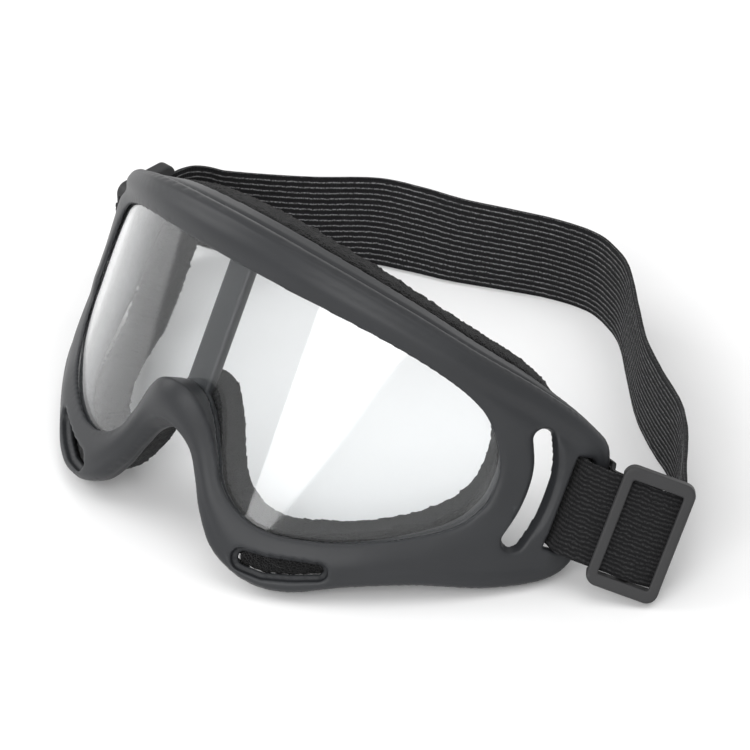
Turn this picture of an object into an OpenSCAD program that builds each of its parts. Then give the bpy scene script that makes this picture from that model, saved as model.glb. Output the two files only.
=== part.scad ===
// Wrap-around sports protective goggles with a foam face seal and an elastic strap.
// Millimetres. +X is the wearer's left, -Y the front, +Z up. The goggles stand on a
// table on their two lower lobes, leaning back, with the strap on edge behind them.

/* [Frame] */

// Radius that the front of the frame is bent to
front_r = 80; // [70:1:100]
// Half angle of the front bend, where the flatter temples begin
front_a = 35; // [25:1:45]
// Radius of the temple bend
temple_r = 130; // [100:5:200]
// Lean of the goggles backwards as they stand
lean = 29; // [20:1:35]
// Thickness of the front lip and of the temple plates
lip_t = 2.8; // [2.2:0.1:3.5]
// Thickness of the side walls
wall_t = 2.2; // [1.6:0.1:3]
// How far the nose bridge stands proud
nose_bulge = 6; // [0:0.2:8]
// Width of the post behind the lens
post_w = 8; // [5:0.5:12]

/* [Lens and foam] */

// Thickness of the lens
lens_t = 1.9; // [1.5:0.1:2.5]
// How far the lens reaches into its groove
lens_grip = 2.9; // [2:0.1:4]
// Depth of the face foam behind the frame, as a share of the depths in RIM
foam_t = 1; // [0.6:0.05:1.2]

/* [Strap] */

// Width of the elastic webbing
strap_w = 25; // [20:1:30]
// Thickness of the elastic webbing
strap_t = 1.3; // [1:0.1:2]
// Length of the strap slots
slot_len = 26.4; // [25:0.2:32]
// Width of the strap slots
slot_w = 5.4; // [4:0.2:7]
// Length of a slider across the webbing
slider_len = 32.2; // [28:0.2:36]
// Width of a slider along the webbing
slider_w = 18.8; // [16:0.2:24]
// Width of the slider's bars
bar_w = 2.8; // [2:0.2:4]

/* [Hidden] */

$fn = 32;
turn = 180 / PI;
front_s = front_r * front_a / turn;

// Outlines of the right half, from the top centre round the temple to the nose, as
// distance along the bent front and height. Each row is one place round the rim: the
// opening, the outer edge, the foam's outer edge, the depths of the inner and the
// outer wall, how much the walls climb as they run back, and the foam's own depth.
RIM = [
    [[0, 30.8], [0, 41.4], [0, 41.8], 12, 11.5, 0.12, 8.5],
    [[25, 30.2], [25, 40.1], [25, 40.5], 12, 11.5, 0.12, 8.5],
    [[46, 28.2], [48, 37], [48, 37.4], 12, 11.5, 0.12, 8.5],
    [[63, 24.6], [68, 32.8], [68, 33.2], 12, 11, 0.12, 9],
    [[74, 20], [86, 29], [85, 29.2], 11.5, 10, 0.12, 10],
    [[80, 13.8], [102, 24], [96.5, 23], 11, 7.5, 0.12, 11],
    [[83, 8], [110, 18.4], [91.5, 14], 10.5, 5.4, 0.1, 11.5],
    [[83.9, 2], [112, 6], [90, 3], 10.5, 4.6, 0.1, 11.5],
    [[82.5, -4.6], [111.5, -8], [89.4, -5.4], 10.5, 4.6, 0.1, 11.5],
    [[77, -11.2], [106.4, -16.8], [91, -13], 10.5, 6, 0.12, 11],
    [[66, -17.8], [92, -23.2], [84, -22], 9, 7, 0.18, 10],
    [[54, -23.2], [74, -27.8], [71, -26.6], 7.5, 7, 0.28, 9],
    [[43, -26.5], [58, -33.8], [56.5, -32.4], 6.5, 6.5, 0.38, 8.5],
    [[33, -28], [44, -40.4], [43, -38.8], 6, 6, 0.44, 8],
    [[25, -26.4], [33, -42], [32.5, -40.3], 6, 6, 0.45, 8],
    [[18.6, -22], [22, -38.4], [22.5, -36.8], 6, 6, 0.42, 8.5],
    [[14.4, -15], [15, -31], [16.2, -30], 5.6, 5, 0.42, 9],
    [[10.4, -8.2], [10.4, -23.4], [11.6, -22.4], 5.4, 4.6, 0.46, 9],
    [[5.6, -3.2], [6, -17.2], [6.6, -16], 5.4, 4.6, 0.5, 9],
    [[0, -1.6], [0, -14.4], [0, -13.2], 5.4, 4.6, 0.5, 9]
];
STEPS = 4;

// Temple slots: the crescent's middle line and the strap slot
CRESCENT = [[90.6, 17.6], [93.4, 11], [94.3, 4], [93.8, -3], [92.2, -9.6]];
crescent_r = 2.1;
slot_s = 103.8;
slot_v = 2.8;

// Lower vents: the middle line and the radius of each bead
VENT = [[30.5, -36.8, 1.8], [36, -36.4, 2], [43, -34.4, 1.8], [49.5, -32.4, 1.2]];
vent_pad_t = 3;

// Wrap curve and mapping
function heading(s) = abs(s) <= front_s ? s / front_r * turn
    : sign(s) * (front_a + (abs(s) - front_s) / temple_r * turn);
function wrap_x(s) = abs(s) <= front_s ? front_r * sin(heading(s))
    : sign(s) * (front_r * sin(front_a) + temple_r * (sin(abs(heading(s))) - sin(front_a)));
function wrap_y(s) = abs(s) <= front_s ? front_r * (1 - cos(heading(s)))
    : front_r * (1 - cos(front_a)) + temple_r * (cos(front_a) - cos(heading(s)));
function on_wrap(s, v, n) =
    [wrap_x(s) + n * sin(heading(s)), wrap_y(s) - n * cos(heading(s)), v];
// A point of a wall that climbs by rake behind the lip
function on_wall(p, n, rake) = on_wrap(p[0], p[1] + rake * max(-n - lip_back, 0), n);
function bulge(s, v) = nose_bulge * exp(-pow(s / 13, 2) - pow((v + 3) / 13, 2));

// The stance: the local frame leans back, and its lobes touch the table
stand_h = 44.1;
shift_x = 8.9;
shift_y = 62.3;
function stood(p) = [
    p[0], p[1] * cos(lean) + p[2] * sin(lean), p[2] * cos(lean) - p[1] * sin(lean) + stand_h
];
module standing() {
    translate([-shift_x, -shift_y, stand_h]) rotate([-lean, 0, 0]) children();
}

// Closed smooth loop through the rim's control points
half = len(RIM);
loop_n = 2 * (half - 1);
function rim_row(i) = let (k = (i + loop_n) % loop_n) k < half ? k : loop_n - k;
function rim_sign(i) = (i + loop_n) % loop_n < half ? 1 : -1;
function rim_point(i, col) = let (p = RIM[rim_row(i)][col]) [rim_sign(i) * p[0], p[1]];
function smooth(a, b, c, d, t) =
    0.5 * (2 * b + (c - a) * t + (2 * a - 5 * b + 4 * c - d) * t * t
    + (3 * b - a - 3 * c + d) * t * t * t);
function rim_at(j, col) = let (i = floor(j / STEPS), t = j / STEPS - i)
    smooth(rim_point(i - 1, col), rim_point(i, col), rim_point(i + 1, col),
        rim_point(i + 2, col), t);
function depth_at(j, col) = let (i = floor(j / STEPS), t = j / STEPS - i)
    RIM[rim_row(i)][col] * (1 - t) + RIM[rim_row(i + 1)][col] * t;
rounds = loop_n * STEPS;

// A ring solid: each section is a list of points, one section per place round the rim
module ring(sections) {
    m = len(sections[0]);
    polyhedron(
        points = [for (sec = sections) each sec],
        faces = [for (j = [0:len(sections) - 1], k = [0:m - 1])
            let (a = j * m, b = ((j + 1) % len(sections)) * m, k2 = (k + 1) % m)
            each [[a + k, b + k2, b + k], [a + k, a + k2, b + k2]]],
        convexity = 8);
}

// Frame shell: lens groove behind the lip, an inner and an outer wall, open between
groove_in = 3.4;
groove_w = lens_t + 0.3;
rear_lip = 1.4;
inner_w = 2;
lens_face = 1.2;
lens_back = lens_face + groove_w;
lip_back = lens_back + rear_lip;
function shell_section(j) = let (
        a = rim_at(j, 0), b = rim_at(j, 1), l = norm(b - a), u = (b - a) / l,
        di = depth_at(j, 3), do = depth_at(j, 4), rake = depth_at(j, 5),
        inner = rear_lip + inner_w,
        rows = [
            [0, -0.5, 1], [0.7, 0.2, 1], [l / 2, 1.2, 1], [l - 1.6, 0.3, 1],
            [l, -1.6, 0.8], [l, -do, 0], [l - wall_t, -do, 0], [l - wall_t, -lip_t, 0],
            [inner + 2.2, -lip_t, 0], [inner, -lip_back, 0], [inner, -di, 0],
            [rear_lip, -di, 0], [rear_lip - 0.4, -lip_back, 0], [0.6, -lip_back, 0],
            [0.6, -lens_back, 0], [groove_in, -lens_back, 0],
            [groove_in, -lens_face, 0], [0, -lens_face, 0]
        ])
    [for (r = rows) let (p = a + u * r[0])
        on_wall(p, r[1] + r[2] * bulge(p[0], p[1]), rake)];

// Things set square to the bent front at one place
module at_front(s, v, n = 0) {
    translate(on_wrap(s, v, n)) rotate([90, 0, heading(s)]) children();
}
// A slot along a line of beads [s, v, radius], from depth n0 out to n1
module bead_slot(line, n0, n1, grow = 0) {
    for (i = [0:len(line) - 2]) hull() for (b = [line[i], line[i + 1]])
        at_front(b[0], b[1], n0) cylinder(r = b[2] + grow, h = n1 - n0, $fn = 20);
}
module both_sides() {
    children();
    mirror([1, 0, 0]) children();
}

module frame_shell() {
    color([0.24, 0.25, 0.27]) standing() difference() {
        union() {
            ring([for (j = [0:rounds - 1]) shell_section(j)]);
            translate([-post_w / 2, lens_back + 0.3, -1]) cube([post_w, rear_lip + 1.8, 35.4]);
            translate([-post_w / 2, lens_back + 0.3, -4]) cube([post_w, rear_lip, 4]);
        }
        both_sides() {
            crescent = [for (p = CRESCENT) [p[0], p[1], crescent_r]];
            bead_slot(crescent, -8, 4);
            bead_slot(crescent, -0.2, 4, 2);
            bead_slot(VENT, -lip_t - 1, 4);
            bead_slot(VENT, -1.4, 4, 1.4);
            at_front(slot_s, slot_v)
                translate([0, 0, -2]) cube([slot_w, slot_len, 14], center = true);
        }
    }
}

// Lens: upright strips between its lower and upper edges
function lens_rim(j) = let (a = rim_at(j, 0), b = rim_at(j, 1))
    a + (b - a) / norm(b - a) * lens_grip;
lens_n = -lens_face - 0.15;
function lens_edge(first, last) = [for (j = [first:last]) lens_rim(j)];
peak = 7 * STEPS;
lens_top = lens_edge(0, peak);
lens_low = [for (j = [half * STEPS - STEPS:-1:peak]) lens_rim(j)];
lens_steps = 30;
function lens_s(k) = lens_rim(peak)[0] * sin(90 * k / lens_steps);
function lens_column(k) = let (s = lens_s(k), q = abs(s),
        lo = lookup(q, lens_low), hi = max(lookup(q, lens_top), lo + 0.4))
    [on_wrap(s, lo, lens_n), on_wrap(s, hi, lens_n),
    on_wrap(s, hi, lens_n - lens_t), on_wrap(s, lo, lens_n - lens_t)];
module lens() {
    color([0.8, 0.86, 0.9, 0.5]) standing()
        strip([for (k = [-lens_steps:lens_steps]) lens_column(k)]);
}

// A solid through a row of sections, closed by its first and last
module strip(sections) {
    m = len(sections[0]);
    n = len(sections);
    polyhedron(
        points = [for (sec = sections) each sec],
        faces = concat(
            [[for (k = [m - 1:-1:0]) k]],
            [for (j = [0:n - 2], k = [0:m - 1])
                let (a = j * m, b = a + m, k2 = (k + 1) % m)
                each [[a + k, b + k2, b + k], [a + k, a + k2, b + k2]]],
            [[for (k = [0:m - 1]) (n - 1) * m + k]]),
        convexity = 8);
}

// Face foam: a ring on the rear edges of the walls
function foam_section(j) = let (
        a = rim_at(j, 0), b = rim_at(j, 1), u = (b - a) / norm(b - a),
        p = a + u * 0.8, q = rim_at(j, 2), d = depth_at(j, 3) + 0.05,
        rake = depth_at(j, 5), e = d + foam_t * depth_at(j, 6))
    [on_wall(p, -d, rake), on_wall(q, -d, rake), on_wall(q, 1 - e, rake),
    on_wall((p + q) / 2, -e, rake), on_wall(p, 1 - e, rake)];
module face_foam() {
    color([0.1, 0.1, 0.1]) standing() ring([for (j = [0:rounds - 1]) foam_section(j)]);
}
module vent_pad() {
    bead_slot(VENT, -lip_t - 0.1 - vent_pad_t, -lip_t - 0.1, 0.4);
}
module vent_foam_left() {
    color([0.12, 0.12, 0.12]) standing() vent_pad();
}
module vent_foam_right() {
    color([0.12, 0.12, 0.12]) standing() mirror([1, 0, 0]) vent_pad();
}

// Webbing loops round the rear bars of the strap slots, in the leaning frame's plan
function flat(p) = [p[0], p[1]];
LOOP_LEFT = [
    [89.3, 57.9], flat(on_wrap(113.6, 0, -3)), flat(on_wrap(113, 0, -6)),
    flat(on_wrap(104.4, 0, -6)), flat(on_wrap(103.4, 0, -4.6)),
    flat(on_wrap(103.6, 0, 0.8)), [85.6, 53.2], [89.5, 55.4]
];
LOOP_RIGHT = [
    flat(on_wrap(113.8, 0, -2.4)), flat(on_wrap(113.4, 0, -4.2)),
    flat(on_wrap(112.2, 0, -6)), flat(on_wrap(104.4, 0, -6)),
    flat(on_wrap(103.4, 0, -4.6)), flat(on_wrap(103.6, 0, 0.8)),
    flat(on_wrap(105, 0, 1.9)), flat(on_wrap(108, 0, 1.6))
];
loop_v = 3.4;
function side(a, b) = let (d = (b - a) / norm(b - a)) [-d[1], d[0]];
function mitre(path, i, off) = let (
        n = len(path), p = side(path[max(i - 1, 0)], path[max(i, 1)]),
        q = side(path[min(i, n - 2)], path[min(i + 1, n - 1)]), m = p + q)
    path[i] + m * (2 * off / (m * m));
module ribbon(path, thick, tall) {
    n = len(path);
    linear_extrude(tall, center = true) polygon(concat(
        [for (i = [0:n - 1]) mitre(path, i, thick / 2)],
        [for (i = [n - 1:-1:0]) mitre(path, i, -thick / 2)]));
}
module strap_loop_left() {
    color([0.08, 0.08, 0.09]) standing()
        translate([0, 0, loop_v]) ribbon(LOOP_LEFT, strap_t, strap_w);
}
module strap_loop_right() {
    color([0.08, 0.08, 0.09]) standing() mirror([1, 0, 0])
        translate([0, 0, loop_v]) ribbon(LOOP_RIGHT, strap_t, strap_w);
}

// The band's middle line on the table from the left slider round to the right one:
// x, y and height above the table, and how far its upper edge leans back
left_c = [100.3, 62.9, 3.4];
left_head = 37;
left_at = stood(left_c);
left_dir = stood([cos(left_head), sin(left_head), 0]) - stood([0, 0, 0]);
left_in = stood([-sin(left_head), cos(left_head), 0]) - stood([0, 0, 0]);
right_at = [-89, 67.4, 16.1];
function by_slider(along, inward) =
    [each left_at + left_dir * along + left_in * inward, lean];
BAND = [
    by_slider(-12.2, 0), by_slider(-6, 0), by_slider(0, 0), by_slider(4.6, 0),
    by_slider(7.4, 1.2), by_slider(8.6, 3.6), [101.3, 69.2, 13, 16],
    [96.4, 76, 12.9, 8], [91, 83.5, 12.9, 4], [85.4, 90, 12.9, 3],
    [78, 96, 12.9, 4], [66, 102.6, 12.9, 5], [54, 110.4, 12.9, 5],
    [42, 120.8, 12.9, 5], [30, 131.4, 12.9, 5], [22, 136, 12.9, 5],
    [12, 138.4, 12.9, 5], [0, 135.8, 12.9, 6], [-12.5, 130.5, 12.8, 9],
    [-25.4, 124.6, 12.7, 13], [-38, 120.7, 12.4, 18], [-50, 115.7, 12.1, 22],
    [-63, 103.9, 12.1, 22], [-74, 95, 12.6, 16], [-82.4, 88.6, 13.6, 8],
    [-87.4, 84, 15.4, 2], [-89, 79.4, 15.8, 0], [-89, 73, 15.8, 0],
    [-89, 63, 15.8, 0], [-89, 56, 15.8, 0]
];
BAND_STEPS = 3;
function band_at(j) = let (
        last = len(BAND) - 1, i = min(floor(j / BAND_STEPS), last - 1),
        t = j / BAND_STEPS - i)
    smooth(BAND[max(i - 1, 0)], BAND[i], BAND[i + 1], BAND[min(i + 2, last)], t);
function unit(v) = v / norm(v);
function band_section(j, last) = let (
        p = band_at(j), a = band_at(max(j - 0.3, 0)), b = band_at(min(j + 0.3, last)),
        t = unit([b[0] - a[0], b[1] - a[1], b[2] - a[2]]), l = p[3],
        raw = [0, sin(l), cos(l)], up = unit(raw - t * (raw * t)) * strap_w / 2,
        out = unit(cross(t, up)) * strap_t / 2, c = [p[0], p[1], p[2]])
    [c - up - out, c - up + out, c + up + out, c + up - out];
module strap_band() {
    last = (len(BAND) - 1) * BAND_STEPS;
    color([0.07, 0.07, 0.08]) translate([-shift_x, -shift_y, 0])
        strip([for (j = [0:last]) band_section(j, last)]);
}

// Slider: webbing runs along X between its front end bars and its rear middle bar
bar_t = 1.2;
gap_t = 0.6;
rail_back = 1.5;
corner = 3;
front = strap_t / 2 + gap_t + bar_t;
module slider() {
    window = slider_len - 2 * bar_w;
    color([0.2, 0.2, 0.21]) union() {
        difference() {
            translate([0, 0, -rail_back])
                linear_extrude(rail_back + front) rounded(slider_w, slider_len);
            cube([slider_w - 2 * bar_w, window, 20], center = true);
            translate([-slider_w, -window / 2, -20])
                cube([2 * slider_w, window, 20 + strap_t / 2 + gap_t]);
        }
        translate([-bar_w / 2, -(window + bar_w) / 2, -front])
            cube([bar_w, window + bar_w, bar_t]);
    }
}
module rounded(w, l) {
    square([w - 2 * corner, l], center = true);
    square([w, l - 2 * corner], center = true);
    for (x = [-1, 1], y = [-1, 1])
        translate([x * (w / 2 - corner), y * (l / 2 - corner)]) circle(corner);
}
module slider_left() {
    standing() translate(left_c) rotate([90, 0, left_head]) slider();
}
module slider_right() {
    translate([right_at[0] - shift_x, right_at[1] - shift_y, right_at[2]])
        rotate([90, 0, -90]) slider();
}

frame_shell();
lens();
face_foam();
vent_foam_left();
vent_foam_right();
strap_loop_left();
strap_loop_right();
strap_band();
slider_left();
slider_right();
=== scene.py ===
"""Wrap-around protective goggles: moulded frame, clear lens, foam seal and elastic strap."""

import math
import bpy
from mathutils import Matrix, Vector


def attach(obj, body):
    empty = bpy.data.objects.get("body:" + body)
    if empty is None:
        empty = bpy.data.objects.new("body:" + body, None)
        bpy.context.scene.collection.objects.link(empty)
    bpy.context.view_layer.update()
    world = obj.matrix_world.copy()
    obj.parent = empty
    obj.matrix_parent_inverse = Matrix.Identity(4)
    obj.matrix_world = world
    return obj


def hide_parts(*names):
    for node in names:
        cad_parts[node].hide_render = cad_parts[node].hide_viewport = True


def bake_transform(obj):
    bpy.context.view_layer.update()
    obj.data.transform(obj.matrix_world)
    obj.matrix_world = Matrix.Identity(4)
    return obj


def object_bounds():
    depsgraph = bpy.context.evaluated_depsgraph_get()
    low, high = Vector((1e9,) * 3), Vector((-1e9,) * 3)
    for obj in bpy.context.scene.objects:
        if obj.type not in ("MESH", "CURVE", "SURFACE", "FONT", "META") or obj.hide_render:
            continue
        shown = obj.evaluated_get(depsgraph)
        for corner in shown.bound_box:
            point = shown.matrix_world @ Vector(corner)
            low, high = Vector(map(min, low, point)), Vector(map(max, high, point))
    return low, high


bl_info = {
    "name": "Protective goggles",
    "version": (1, 0, 0),
    "blender": (4, 5, 0),
    "location": "3D View > Sidebar > Goggles",
    "description": "Wrap-around protective goggles with a lens, foam seal and elastic strap",
    "category": "Add Mesh",
}

import bmesh
import bpy
import numpy as np
from bpy.props import FloatProperty, FloatVectorProperty, IntProperty, PointerProperty
from mathutils import Matrix, Vector

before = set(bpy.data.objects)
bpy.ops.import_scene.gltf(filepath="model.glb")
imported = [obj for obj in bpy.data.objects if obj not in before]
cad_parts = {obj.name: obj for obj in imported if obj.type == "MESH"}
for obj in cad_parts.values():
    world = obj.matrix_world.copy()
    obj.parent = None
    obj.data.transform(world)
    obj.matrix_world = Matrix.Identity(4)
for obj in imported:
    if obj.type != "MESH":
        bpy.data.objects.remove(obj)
cad_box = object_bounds()

MM = 0.001

# The bend of the front and of the temples, the lean of the goggles and where they stand
FRONT_R = 80.0
FRONT_A = math.radians(35)
TEMPLE_R = 130.0
LEAN = math.radians(29)
FRONT_S = FRONT_R * FRONT_A
SHIFT_X, SHIFT_Y, STAND_H = 8.9, 62.3, 44.1

# One row for each place round the rim, from the top centre round the temple to the nose:
# opening, outer edge, foam's outer edge, depth of the inner and outer wall, climb of the
# walls, depth of the foam
RIM = [
    [(0, 30.8), (0, 41.4), (0, 41.8), 12, 11.5, 0.12, 8.5],
    [(25, 30.2), (25, 40.1), (25, 40.5), 12, 11.5, 0.12, 8.5],
    [(46, 28.2), (48, 37), (48, 37.4), 12, 11.5, 0.12, 8.5],
    [(63, 24.6), (68, 32.8), (68, 33.2), 12, 11, 0.12, 9],
    [(74, 20), (86, 29), (85, 29.2), 11.5, 10, 0.12, 10],
    [(80, 13.8), (102, 24), (96.5, 23), 11, 7.5, 0.12, 11],
    [(83, 8), (110, 18.4), (91.5, 14), 10.5, 5.4, 0.1, 11.5],
    [(83.9, 2), (112, 6), (90, 3), 10.5, 4.6, 0.1, 11.5],
    [(82.5, -4.6), (111.5, -8), (89.4, -5.4), 10.5, 4.6, 0.1, 11.5],
    [(77, -11.2), (106.4, -16.8), (91, -13), 10.5, 6, 0.12, 11],
    [(66, -17.8), (92, -23.2), (84, -22), 9, 7, 0.18, 10],
    [(54, -23.2), (74, -27.8), (71, -26.6), 7.5, 7, 0.28, 9],
    [(43, -26.5), (58, -33.8), (56.5, -32.4), 6.5, 6.5, 0.38, 8.5],
    [(33, -28), (44, -40.4), (43, -38.8), 6, 6, 0.44, 8],
    [(25, -26.4), (33, -42), (32.5, -40.3), 6, 6, 0.45, 8],
    [(18.6, -22), (22, -38.4), (22.5, -36.8), 6, 6, 0.42, 8.5],
    [(14.4, -15), (15, -31), (16.2, -30), 5.6, 5, 0.42, 9],
    [(10.4, -8.2), (10.4, -23.4), (11.6, -22.4), 5.4, 4.6, 0.46, 9],
    [(5.6, -3.2), (6, -17.2), (6.6, -16), 5.4, 4.6, 0.5, 9],
    [(0, -1.6), (0, -14.4), (0, -13.2), 5.4, 4.6, 0.5, 9],
]
CRESCENT = [(90.6, 17.6), (93.4, 11), (94.3, 4), (93.8, -3), (92.2, -9.6)]
VENT = [(30.5, -36.8, 1.8), (36, -36.4, 2), (43, -34.4, 1.8), (49.5, -32.4, 1.2)]
SLOT_S, SLOT_V = 103.8, 3.3
LENS_FACE, LENS_BACK, LIP_BACK = 1.2, 3.4, 4.8


# ---------------------------------------------------------------- settings


def length(name, text, value):
    return FloatProperty(
        name=name, description=text, default=value * MM, unit="LENGTH", precision=5
    )


def colour(name, text, value):
    return FloatVectorProperty(
        name=name, description=text, default=value, subtype="COLOR", min=0, max=1
    )


class FrameSettings(bpy.types.PropertyGroup):
    lip: length("Lip", "Thickness of the front lip and temple plates", 2.8)
    wall: length("Wall", "Thickness of the outer side wall", 2.2)
    post: length("Post", "Width of the post behind the lens", 8.0)
    bridge: length("Bridge", "How far the nose bridge stands proud", 6.0)
    crease: length("Crease", "Depth of the line round the top wall", 0.5)
    plastic: colour("Plastic", "Colour of the moulded frame", (0.021, 0.0222, 0.0245))


class LensSettings(bpy.types.PropertyGroup):
    thick: length("Thickness", "Thickness of the lens", 1.9)
    grip: length("Grip", "How far the lens reaches into its groove", 2.9)
    tint: colour("Tint", "Colour of light through the lens", (0.93, 0.945, 0.95))


class FoamSettings(bpy.types.PropertyGroup):
    share: FloatProperty(
        name="Depth",
        description="Depth of the face foam, as a share of full depth",
        default=1.0,
    )
    pore: length("Pore", "Size of the foam's cells", 0.55)
    black: colour("Foam", "Colour of the foam", (0.006, 0.006, 0.0064))


class StrapSettings(bpy.types.PropertyGroup):
    width: length("Width", "Width of the elastic webbing", 25.0)
    thick: length("Thickness", "Thickness of the elastic webbing", 1.3)
    inner_ribs: IntProperty(
        name="Inner ribs", description="Ribs on the inner face", default=16
    )
    outer_ribs: IntProperty(
        name="Outer ribs", description="Ribs on the outer face", default=22
    )
    black: colour("Webbing", "Colour of the webbing", (0.0062, 0.0062, 0.0068))
    # the colour of the painted highlight of light specks along the webbing's rib crests
    highlight_fleck: colour("Fleck", "Colour of the light yarn", (0.3, 0.3, 0.305))


class SliderSettings(bpy.types.PropertyGroup):
    size: length("Length", "Length of a slider across the webbing", 32.2)
    width: length("Width", "Width of a slider along the webbing", 18.8)
    bar: length("Bar", "Width of the slider's bars", 2.8)
    plastic: colour("Plastic", "Colour of the sliders", (0.026, 0.026, 0.027))


class GoggleSettings(bpy.types.PropertyGroup):
    shell: PointerProperty(type=FrameSettings, name="Frame", description="The frame")
    lens: PointerProperty(type=LensSettings, name="Lens", description="The lens")
    foam: PointerProperty(type=FoamSettings, name="Foam", description="The foam")
    strap: PointerProperty(type=StrapSettings, name="Strap", description="The strap")
    slider: PointerProperty(
        type=SliderSettings, name="Sliders", description="The sliders"
    )


def settings():
    return bpy.context.scene.goggles


# ---------------------------------------------------------------- placing


def heading(s):
    q = np.abs(s)
    bent = np.where(q <= FRONT_S, q / FRONT_R, FRONT_A + (q - FRONT_S) / TEMPLE_R)
    return np.sign(s) * bent


def wrapped(s, v, n):
    """A point at distance s along the bent front, height v and n proud of it."""
    h = heading(s)
    a = np.minimum(np.abs(h), FRONT_A)
    x = FRONT_R * np.sin(a) + TEMPLE_R * (np.sin(np.abs(h)) - np.sin(a))
    y = FRONT_R * (1 - np.cos(a)) + TEMPLE_R * (np.cos(a) - np.cos(h))
    return np.stack([np.sign(s) * x + n * np.sin(h), y - n * np.cos(h), v + 0 * x], -1)


def stood(p):
    """Leans points of the upright goggles back and stands them on the table, in metres."""
    x, y, v = p[..., 0], p[..., 1], p[..., 2]
    c, d = math.cos(LEAN), math.sin(LEAN)
    out = [x - SHIFT_X, y * c + v * d - SHIFT_Y, v * c - y * d + STAND_H]
    return np.stack(out, -1) * MM


def on_frame(s, v, n):
    return stood(wrapped(np.asarray(s, float), np.asarray(v, float), n))


# ---------------------------------------------------------------- curves and noise


def spline(rows, steps, closed=False):
    """Smooth curve through rows of numbers, steps points to each span."""
    p = np.asarray(rows, float)
    n = len(p)
    spans = n if closed else n - 1
    q = np.arange(spans * steps + (0 if closed else 1)) / steps
    i = np.minimum(q.astype(int), spans - 1)
    t = (q - i)[:, None]
    pick = (lambda k: p[k % n]) if closed else (lambda k: p[np.clip(k, 0, n - 1)])
    a, b, c, d = pick(i - 1), pick(i), pick(i + 1), pick(i + 2)
    return 0.5 * (
        2 * b
        + (c - a) * t
        + (2 * a - 5 * b + 4 * c - d) * t * t
        + (3 * b - a - 3 * c + d) * t**3
    )


def rim_loop(column, steps):
    """The closed outline of one column of RIM."""
    half = [row[column] for row in RIM]
    return spline(half + [(-s, v) for s, v in half[-2:0:-1]], steps, closed=True)


def rim_value(column, steps):
    half = [row[column] for row in RIM]
    full = np.array(half + half[-2:0:-1] + half[:1], float)
    return np.interp(np.arange(len(full[:-1]) * steps) / steps, range(len(full)), full)


def cell_noise(p, cell, seed=0):
    """Smooth random numbers from -1 to 1 at points p, one to each cell of a lattice."""
    q = np.asarray(p, float) / cell
    base = np.floor(q).astype(np.int64)
    f = q - base
    f = f * f * (3 - 2 * f)
    total = 0
    for corner in range(8):
        o = np.array([corner & 1, corner >> 1 & 1, corner >> 2 & 1])
        k = base + o
        h = k[..., 0] * 73856093 ^ k[..., 1] * 19349663 ^ k[..., 2] * 83492791
        h = (h + seed * 2654435761) & 0xFFFFFFFF
        h = (h ^ h >> 15) * 2246822519 & 0xFFFFFFFF
        h = (h ^ h >> 13) * 3266489917 & 0xFFFFFFFF
        h = (h ^ h >> 16) / 2147483647.5 - 1
        total = total + h * np.prod(np.where(o == 1, f, 1 - f), -1)
    return total


def to_path(p, path):
    """Distance of 2-D points to a path, and the place of the nearest point along it."""
    p = np.asarray(p, float)
    best = np.full(p.shape[:-1], 1e9)
    place = np.zeros(p.shape[:-1])
    for i, (a, b) in enumerate(zip(path[:-1], path[1:])):
        d = b - a
        t = np.clip(((p - a) @ d) / max(d @ d, 1e-9), 0, 1)
        gap = np.hypot(p[..., 0] - a[0] - t * d[0], p[..., 1] - a[1] - t * d[1])
        near = gap < best
        best = np.where(near, gap, best)
        place = np.where(near, i + t, place)
    return best, place


def within(p, loop):
    """True for each 2-D point inside a closed outline."""
    inside = np.zeros(p.shape[:-1], bool)
    for a, b in zip(loop, np.roll(loop, -1, 0)):
        if a[1] != b[1]:
            cross = (a[1] > p[..., 1]) != (b[1] > p[..., 1])
            x = a[0] + (p[..., 1] - a[1]) * (b[0] - a[0]) / (b[1] - a[1])
            inside ^= cross & (p[..., 0] < x)
    return inside


def beads(line, grow=0.0):
    """Signed distance in s and v to a row of beads [s, v, radius]."""
    row = np.asarray(line, float)

    def distance(s, v):
        gap, at = to_path(np.stack([s, v], -1), row[:, :2])
        return gap - np.interp(at, range(len(row)), row[:, 2]) - grow

    return distance


def step(x, low, high):
    t = np.clip((x - low) / (high - low), 0, 1)
    return t * t * (3 - 2 * t)


def join(a, b, fillet):
    """Union of two solids with a fillet between them."""
    h = np.clip(0.5 + 0.5 * (b - a) / fillet, 0, 1)
    return b * (1 - h) + a * h - fillet * h * (1 - h)


def meet(a, b, fillet):
    """What two solids share, with a rounded edge."""
    return -join(-a, -b, fillet)


def all_of(*solids):
    return np.maximum.reduce(np.broadcast_arrays(*solids))


# ---------------------------------------------------------------- meshes


def add_mesh(name, points, faces, smooth=True):
    mesh = bpy.data.meshes.new(name)
    faces = faces.tolist() if hasattr(faces, "tolist") else faces
    mesh.from_pydata(np.asarray(points, float).tolist(), [], faces)
    mesh.update()
    if smooth:
        mesh.shade_smooth()
    piece = bpy.data.objects.new(name, mesh)
    bpy.context.scene.collection.objects.link(piece)
    return piece


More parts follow.
